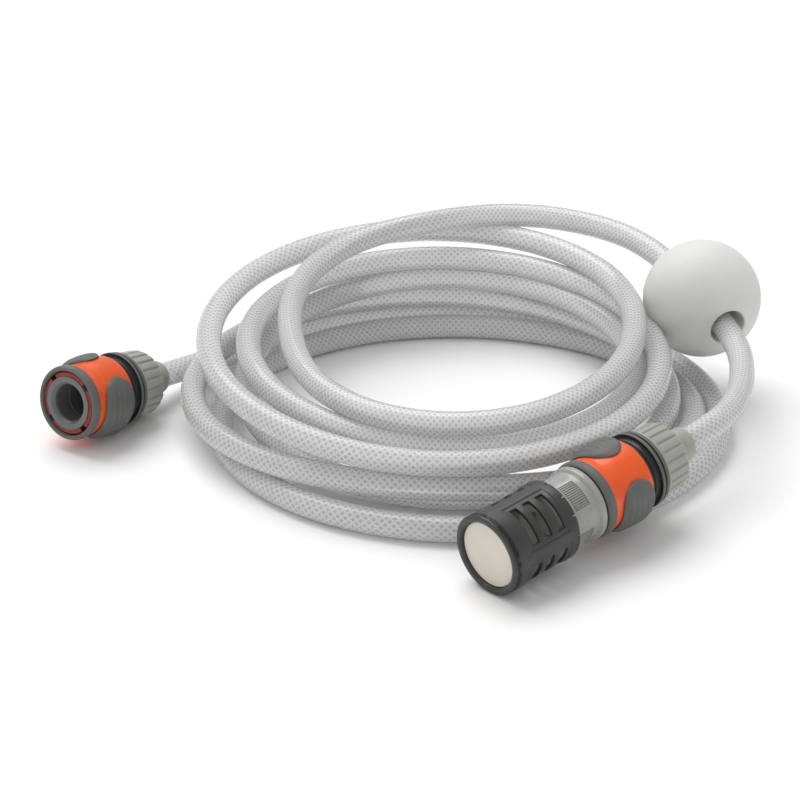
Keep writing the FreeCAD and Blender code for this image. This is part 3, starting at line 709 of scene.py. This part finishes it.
def braid_group():
    """Mask and height of a braid of yarns, on coordinates along and round a hose."""
    group, given, made = new_group(
        "yarn_braid",
        [("Along", FLOAT, 0.0), ("Round", FLOAT, 0.0), ("Yarn Width", FLOAT, 0.5)],
        [("Mask", FLOAT), ("Height", FLOAT)],
    )
    along = maths(group, "MULTIPLY", given.outputs["Along"], HOSE_LENGTH / YARN_PITCH)
    around = maths(group, "MULTIPLY", given.outputs["Round"], YARNS_ROUND)
    masks = []
    for operation in ("ADD", "SUBTRACT"):
        phase = maths(group, operation, along, around)
        wave = maths(group, "PINGPONG", phase, 0.5)
        half = maths(group, "MULTIPLY", given.outputs["Yarn Width"], 0.5)
        masks.append(maths(group, "LESS_THAN", wave, half))
    either = maths(group, "MAXIMUM", *masks)
    group.links.new(either, made.inputs["Mask"])
    group.links.new(maths(group, "ADD", *masks), made.inputs["Height"])
    return group


def hose_finish():
    """Clear soft plastic with the braid in its wall."""
    material = bpy.data.materials.new("braided_hose")
    material.use_nodes = True
    tree = material.node_tree
    shader = tree.nodes["Principled BSDF"]
    split = tree.nodes.new("ShaderNodeSeparateXYZ")
    tree.links.new(tree.nodes.new("ShaderNodeTexCoord").outputs["UV"], split.inputs[0])
    braid = tree.nodes.new("ShaderNodeGroup")
    braid.node_tree = braid_group()
    braid.inputs["Yarn Width"].default_value = YARN_WIDTH
    tree.links.new(split.outputs["X"], braid.inputs["Along"])
    tree.links.new(split.outputs["Y"], braid.inputs["Round"])
    colour = tree.nodes.new("ShaderNodeMix")
    colour.data_type = "RGBA"
    colour.inputs["A"].default_value = CLEAR_COLOUR
    colour.inputs["B"].default_value = YARN_COLOUR
    tree.links.new(braid.outputs["Mask"], colour.inputs["Factor"])
    tree.links.new(colour.outputs["Result"], shader.inputs["Base Color"])
    bump = tree.nodes.new("ShaderNodeBump")
    bump.inputs["Strength"].default_value = 0.8
    bump.inputs["Distance"].default_value = YARN_HEIGHT
    tree.links.new(braid.outputs["Height"], bump.inputs["Height"])
    tree.links.new(bump.outputs["Normal"], shader.inputs["Normal"])
    shader.inputs["Roughness"].default_value = 0.22
    shader.inputs["IOR"].default_value = 1.5
    shader.inputs["Transmission Weight"].default_value = 0.5
    return material


print("a yarn each way every %.1f mm along the hose" % (YARN_PITCH / MM))

# %% [markdown]
# The hose lies in a loose coil of six turns. Each turn is given at four places, behind,
# right, in front and left, by its distance from the middle of the coil and its height, and a loop
# works out the points between them. The loose turns differ in size and cross one another. The
# stretches to the couplings are listed points, and one smooth spline runs through it all.

# %% The hose's route
COIL_MIDDLE = Vector((16.5, 54.5))
QUARTERS = [
    (121, 6), (134, 6), (121, 6), (106, 6),
    (104, 6), (122, 8), (105, 19), (120, 17),
    (117, 18), (110, 14), (90, 6), (94, 17),
    (116, 29), (93, 27), (84, 28), (92, 38),
    (115, 40.5), (104, 34), (106, 30.5), (111, 42),
    (131, 50), (91, 46), (87, 40.5), (71, 46),
    (113, 61),
]
POINTS_PER_TURN = 16
RESTING = 6.1
SPLINE_SHRINK = 1.022


def eased(before, start, end, after, part):
    """A smooth curve through four evenly spaced values, between the middle two."""
    return 0.5 * (2 * start + (end - before) * part
                  + (2 * before - 5 * start + 4 * end - after) * part ** 2
                  + (3 * start - before - 3 * end + after) * part ** 3)


def coil_points():
    """The coil's points in millimetres, wound clockwise as seen from above."""
    points = []
    last = len(QUARTERS) - 1
    for i in range(last * POINTS_PER_TURN // 4 + 1):
        place = i * 4 / POINTS_PER_TURN
        quarter = min(int(place), last - 1)
        near = [QUARTERS[min(max(quarter + k, 0), last)] for k in (-1, 0, 1, 2)]
        radius = SPLINE_SHRINK * eased(*[radius for radius, height in near], place - quarter)
        height = max(eased(*[height for radius, height in near], place - quarter), RESTING)
        turn = math.pi / 2 * (1 - place)
        points.append(Vector((COIL_MIDDLE.x + radius * math.cos(turn),
                              COIL_MIDDLE.y + radius * math.sin(turn), height)))
    return points


HOSE_START = 65.6
OUTLET_RUN, INLET_RUN = 26, 24


def on_axis(prefix, station):
    """A point on a coupling's axis, in millimetres."""
    return (PLACES[prefix] @ Vector((0, 0, station))) / MM


outlet_stretch = [
    on_axis("outlet", HOSE_START), on_axis("outlet", HOSE_START + OUTLET_RUN),
    Vector((-87.5, 124, 7)), Vector((-60, 147, 6)), Vector((-24, 166, 6)),
]
inlet_stretch = [
    Vector((50, 182, 60)), Vector((82, 178, 59)), Vector((110.5, 161.5, 57.5)),
    Vector((129.1, 136.3, 54.6)), Vector((145.3, 98.9, 47.2)), Vector((158.5, 63.1, 39.8)),
    Vector((158.8, 35.5, 37.5)), Vector((153.5, 8, 36)),
    on_axis("inlet", HOSE_START + INLET_RUN), on_axis("inlet", HOSE_START),
]
route = [point * MM for point in outlet_stretch + coil_points() + inlet_stretch]
print(len(route), "points on the route")

# %% [markdown]
# The spline's order is set after its points are added, because set before, it stays at straight
# runs. The bevel gives the hose its thickness round that line.

# %% The hose
curve = bpy.data.curves.new("suction_hose", "CURVE")
curve.dimensions = "3D"
spline = curve.splines.new("NURBS")
spline.points.add(len(route) - 1)
for point, place in zip(spline.points, route):
    point.co = (*place, 1)
spline.order_u = 3
spline.use_endpoint_u = True
spline.resolution_u = 8
curve.bevel_depth = HOSE_DIAMETER / 2
curve.bevel_resolution = 6
hose = bpy.data.objects.new("suction_hose", curve)
bpy.context.scene.collection.objects.link(hose)
curve.materials.append(hose_finish())
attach(hose, "root")
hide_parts("hose_lead_outlet", "hose_coil", "hose_lead_inlet")
print(len(spline.points), "points in the spline, order", spline.order_u)

# %% [markdown]
# ## The rest of the model
# Claws, springs, jaws, seals and the valve already have their true shape in the model, so they
# keep it and take a finish by their slot.

# %% Finishes for the model's own pieces
for row in frame["record"]["subparts"]:
    node = frame["nodes"][row["node"]]
    finish = row["material_slot"]
    node.data.materials.clear()
    node.data.materials.append(FINISH.get(finish) or curve.materials[0])
